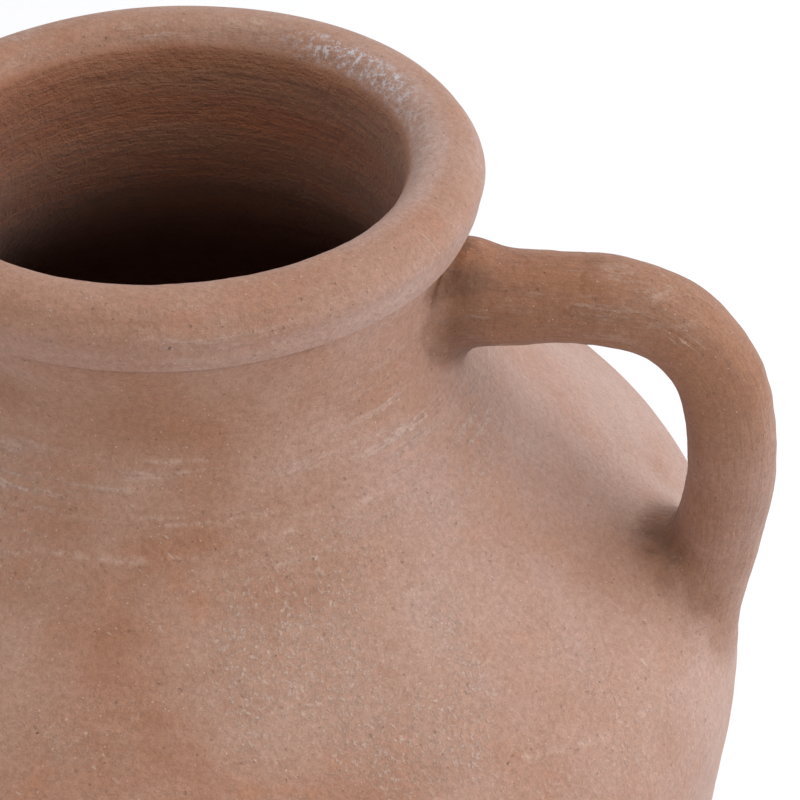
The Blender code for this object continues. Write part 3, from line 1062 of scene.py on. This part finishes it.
def chalked(g, tone, chalk, patches):
    """The tone under chalk bloom, dust with painted light, pale lines and fine slanting hairs."""
    drawn = g.times(g.mark("lines"), g.band(g.noise(260.0, 4.0, 0.7), 0.36, 0.56))
    tone = g.mix(patches, tone, PINK_CLAY)
    tone = g.mix(g.times(g.math("MAXIMUM", chalk, g.times(drawn, 0.75)), 0.42), tone, CHALK)
    # Dust, and painted light on the side facing the key light, make the tone paler and cooler.
    dust_and_painted_light = g.times(g.mark("dust_and_painted_light"), g.band(g.noise(45.0, 5.0, 0.65), 0.25, 0.70, 0.35, 1.0))
    tone = g.mix(g.times(dust_and_painted_light, 0.75), tone, DUST_AND_LIGHT_TINT)
    inputs = {"Vector": g.place, "Angle": 0.9}
    slanted = g.node("ShaderNodeVectorRotate", inputs, rotation_type="Y_AXIS").outputs[0]
    hairs = g.band(g.noise(620.0, 2.0, 0.5, g.stretch((1.0, 1.0, 0.025), slanted)), 0.68, 0.74)
    return g.mix(g.times(hairs, g.band(g.noise(24.0, 2.0), 0.50, 0.64, 0.0, 0.40)), tone, CHALK)


def gritty(g, tone, grain, grit):
    """The tone with fine grain, pale grit and a few dark specks."""
    tone = g.mix(1.0, tone, g.mix(grain, (0.68, 0.67, 0.66), (1.32, 1.32, 1.32)), "MULTIPLY")
    mealy = g.mix(g.band(grit, 0.3, 0.7), (0.88, 0.865, 0.85), (1.10, 1.11, 1.12))
    tone = g.mix(1.0, tone, mealy, "MULTIPLY")
    tone = g.mix(g.times(g.specks(950.0, 0.32, 0.035), 0.55), tone, CHALK)
    tone = g.mix(g.times(g.specks(540.0, 0.24, 0.006), 0.50), tone, DARK_SPECK_AND_SHADE)
    return g.mix(g.times(g.specks(210.0, 0.13, 0.010), 0.75), tone, DARK_SPECK_AND_SHADE)


def shaded_and_soiled(g, tone):
    """The tone with the inside painted darker as shade, lime on the lip, and painted shade with
    some dirt in the corners, the crease and the holes.
    """
    streaky = g.stretch((0.10, 0.10, 1.0))
    # Painted shade: the inside is painted darker than the outside.
    inner = g.mix(g.band(g.noise(70.0, 6.0, 0.7, streaky), 0.35, 0.65), SHADED_INSIDE_CLAY, BROWN_CLAY)
    scored = g.band(g.noise(240.0, 5.0, 0.7, streaky), 0.50, 0.70, 0.0, 0.5)
    inner = g.mix(scored, inner, DARK_CLAY)
    tone = g.mix(g.times(g.mark("inside"), 0.95), tone, inner)
    lime = g.times(g.mark("lime"), g.band(g.noise(420.0, 7.0, 0.8), 0.48, 0.60))
    tone = g.mix(g.times(lime, 0.85), tone, LIME)
    # Painted shade with some dirt in corners, the crease and holes.
    return g.mix(g.times(g.mark("painted_shade_and_grime"), 0.85), tone, DARK_SPECK_AND_SHADE)


def clay_relief(g, grain, grit, chalk, fibres):
    """Height of the fine relief: grain, finger streaks, pinholes, chalk and pulled fibres."""
    streaky = g.stretch((0.10, 0.10, 1.0))
    relief = g.plus(g.times(grain, 0.30), g.times(grit, 0.7))
    relief = g.plus(relief, g.times(g.noise(420.0, 4.0, 0.65, streaky), 0.9))
    relief = g.plus(relief, g.times(g.noise(150.0, 5.0, 0.6), 1.2))
    relief = g.math("SUBTRACT", relief, g.times(g.specks(600.0, 0.34, 0.035), 0.7))
    relief = g.plus(relief, g.times(chalk, 0.25))
    relief = g.plus(relief, g.times(g.times(g.mark("handle"), fibres), 1.3))
    return g.times(relief, g.band(g.mark("inside"), 0.0, 1.0, 1.0, 2.6))


def fired_clay(name, brown=0.0, bloom=0.0):
    """Porous unglazed clay with mottling, chalk bloom, brush streaks and grit.

    brown shifts the tone towards the darker body and bloom raises the amount of chalk.
    """
    g = Graph(name)
    grain = g.noise(1500.0, 3.0, 0.75)
    grit = g.noise(520.0, 4.0, 0.7)
    fibres = g.noise(520.0, 5.0, 0.7, pulled(g))
    chalk, patches = chalk_share(g, bloom)
    tone = chalked(g, mottled(g, brown), chalk, patches)
    dry = g.band(g.noise(38.0, 4.0, 0.6), 0.42, 0.62, 0.05, 0.55)
    dry = g.times(g.band(fibres, 0.53, 0.70), dry)
    tone = g.mix(g.times(g.mark("handle"), dry), tone, PINK_CLAY)
    tone = shaded_and_soiled(g, gritty(g, tone, grain, grit))
    relief = clay_relief(g, grain, grit, chalk, fibres)
    bump = g.node("ShaderNodeBump", {"Height": relief, "Strength": 1.0, "Distance": 0.6 * MM})
    g.put(g.shader.inputs["Base Color"], tone)
    g.put(g.shader.inputs["Roughness"], g.band(chalk, 0.0, 1.0, 0.64, 0.85))
    g.put(g.shader.inputs["Normal"], bump.outputs["Normal"])
    g.shader.inputs["IOR"].default_value = 1.45
    g.shader.inputs["Sheen Weight"].default_value = 0.20
    g.shader.inputs["Sheen Roughness"].default_value = 0.35
    g.shader.inputs["Sheen Tint"].default_value = (0.93, 0.92, 1.0, 1.0)
    return g.material


# Stage

def make_camera():
    """A long lens close above the rim, at the photograph's angle."""
    azimuth, tilt, turned = (math.radians(degrees) for degrees in (18, 53.3, 11.9))
    far, high = 0.690, 0.418
    data = bpy.data.cameras.new("camera")
    data.lens = 112.5
    camera = bpy.data.objects.new("camera", data)
    camera.location = (far * math.sin(azimuth), -far * math.cos(azimuth), RIM_WIDEST + high)
    camera.rotation_euler = (tilt, 0.0, turned)
    bpy.context.scene.collection.objects.link(camera)
    bpy.context.scene.camera = camera


def make_light(name, place, size, power, colour):
    """A square soft light that looks at the middle of the pot."""
    middle = Vector((0.0, 0.0, 0.35))
    data = bpy.data.lights.new(name, "AREA")
    data.shape = "SQUARE"
    data.size = size
    data.energy = power
    data.color = colour
    light = bpy.data.objects.new(name, data)
    light.location = place
    light.rotation_euler = (middle - Vector(place)).to_track_quat("-Z", "Y").to_euler()
    bpy.context.scene.collection.objects.link(light)


def make_floor():
    """A pale floor just under the base."""
    g = Graph("pale_floor")
    paleness = g.mix(g.noise(3.0, 3.0), (0.90, 0.90, 0.91), (0.93, 0.93, 0.94))
    g.put(g.shader.inputs["Base Color"], paleness)
    g.shader.inputs["Roughness"].default_value = 0.9
    half = 6.0
    corners = [(-half, -half, 0), (half, -half, 0), (half, half, 0), (-half, half, 0)]
    mesh = bpy.data.meshes.new("floor")
    mesh.from_pydata(corners, [], [(0, 1, 2, 3)])
    mesh.materials.append(g.material)
    floor = bpy.data.objects.new("floor", mesh)
    floor.location.z = -0.0005
    bpy.context.scene.collection.objects.link(floor)


def make_surroundings():
    """Even white studio light from all round."""
    world = bpy.data.worlds.new("studio")
    world.use_nodes = True
    sky = world.node_tree.nodes["Background"]
    sky.inputs["Color"].default_value = (1.0, 0.98, 0.965, 1.0)
    sky.inputs["Strength"].default_value = 0.71
    bpy.context.scene.world = world
    bpy.context.scene.view_settings.view_transform = "Standard"


def main():
    body_clay = fired_clay("body_clay")
    rim_clay = fired_clay("rim_clay", brown=0.24, bloom=0.01)
    handle_clay = fired_clay("handle_clay")
    luting_clay = fired_clay("luting_clay")
    add_piece(make_lower_body(), "lower_body", body_clay)
    add_piece(make_upper_body(), "upper_body", body_clay)
    add_piece(make_rim(), "rim", rim_clay)
    for word, side in (("right", 1), ("left", -1)):
        add_piece(make_handle(word, side), f"handle_{word}", handle_clay)
        for lower in (False, True):
            node = f"{'lower' if lower else 'upper'}_lute_{word}"
            add_piece(make_lute(word, side, lower), node, luting_clay)
    make_camera()
    make_floor()
    make_surroundings()
    make_light("key", (2.8, 0.7, 2.0), 4.2, 104, (0.88, 0.94, 1.0))
    make_light("top", (0.0, 0.1, 2.6), 2.0, 12, (1.0, 1.0, 1.0))


main()
